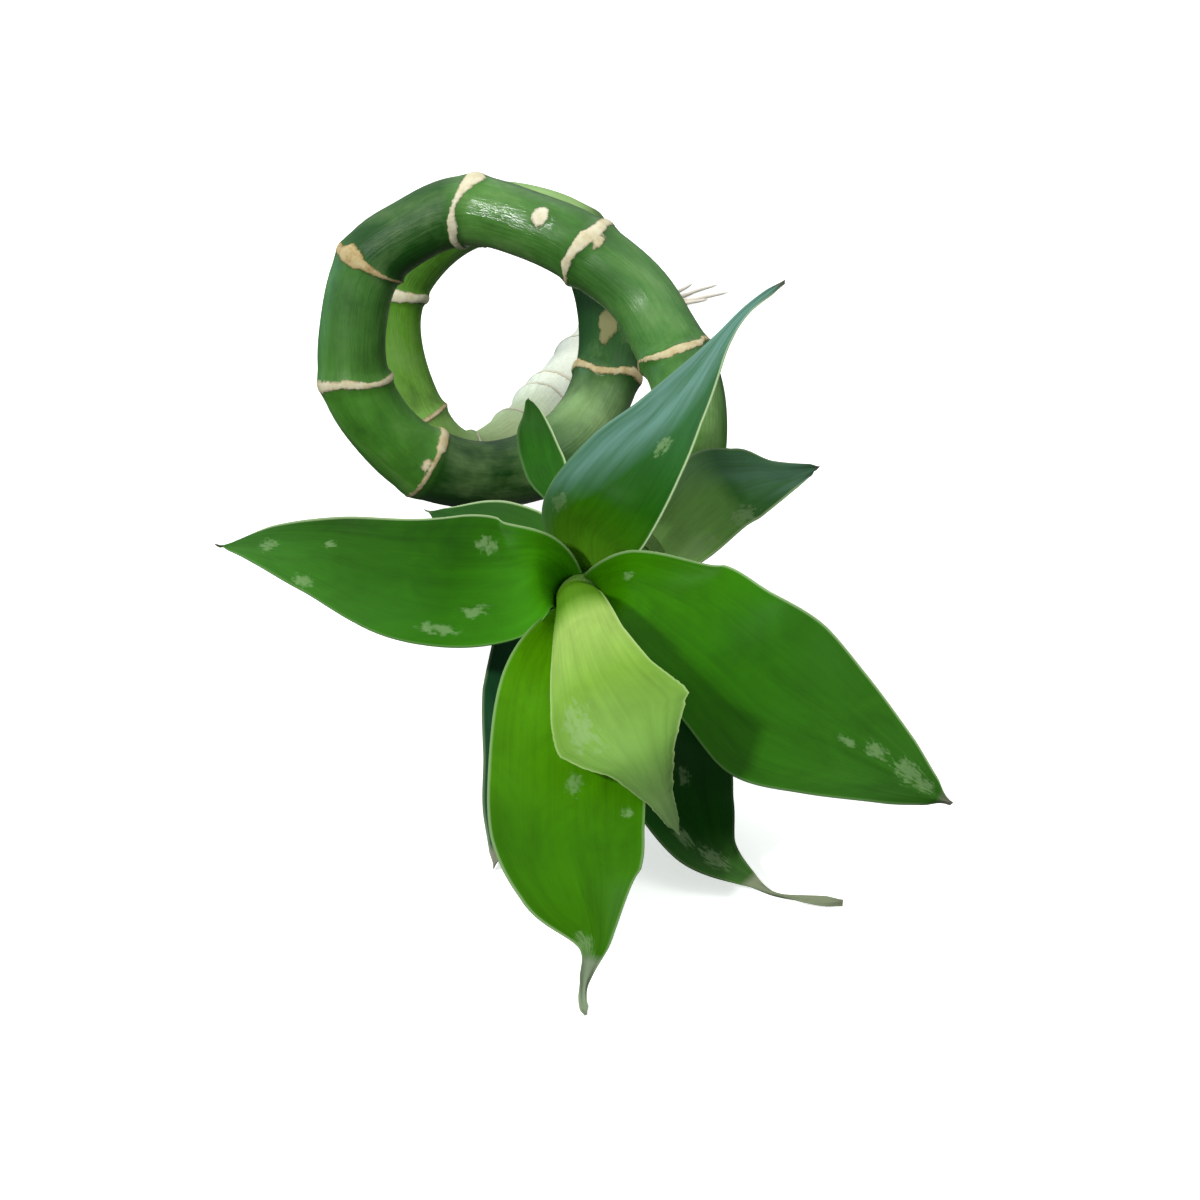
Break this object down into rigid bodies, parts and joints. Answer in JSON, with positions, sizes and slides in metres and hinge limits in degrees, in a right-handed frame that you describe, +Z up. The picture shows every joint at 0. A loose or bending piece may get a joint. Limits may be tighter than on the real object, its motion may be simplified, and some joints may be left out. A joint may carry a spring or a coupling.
{
  "type": "lucky bamboo plant",
  "caption": "Lucky bamboo lying on its side: a jointed green stalk grown into a coil, a head of long pointed leaves at one end and short roots at the other.",
  "frame": {"origin": "middle of the plan of the whole plant, on the surface that it lies on", "axes": "+Z up; +Y along the straight foot of the stalk towards the roots, so the leaves point to -Y; +X to the right seen from the leaves"},
  "size_m": [0.0994, 0.2881, 0.0658],
  "materials": {
    "stalk": "smooth waxy green skin with tan rings at the nodes",
    "root": "dry tan fibre",
    "leaf": "satin dark green with fine parallel veins and a pale edge",
    "leaf_bright": "satin mid green with fine parallel veins and a pale edge",
    "leaf_young": "soft pale yellow-green with fine veins"
  },
  "bodies": {
    "root": {"stalk": "stalk", "roots": "root", "leaf_young": "leaf_young", "leaf_front": "leaf_bright", "leaf_right": "leaf_bright", "leaf_left": "leaf", "leaf_upper": "leaf", "leaf_hanging_right": "leaf", "leaf_small": "leaf", "leaf_hidden_right": "leaf", "leaf_rear_left": "leaf", "leaf_rear_right": "leaf", "leaf_hanging_left": "leaf"}
  },
  "joints": []
}
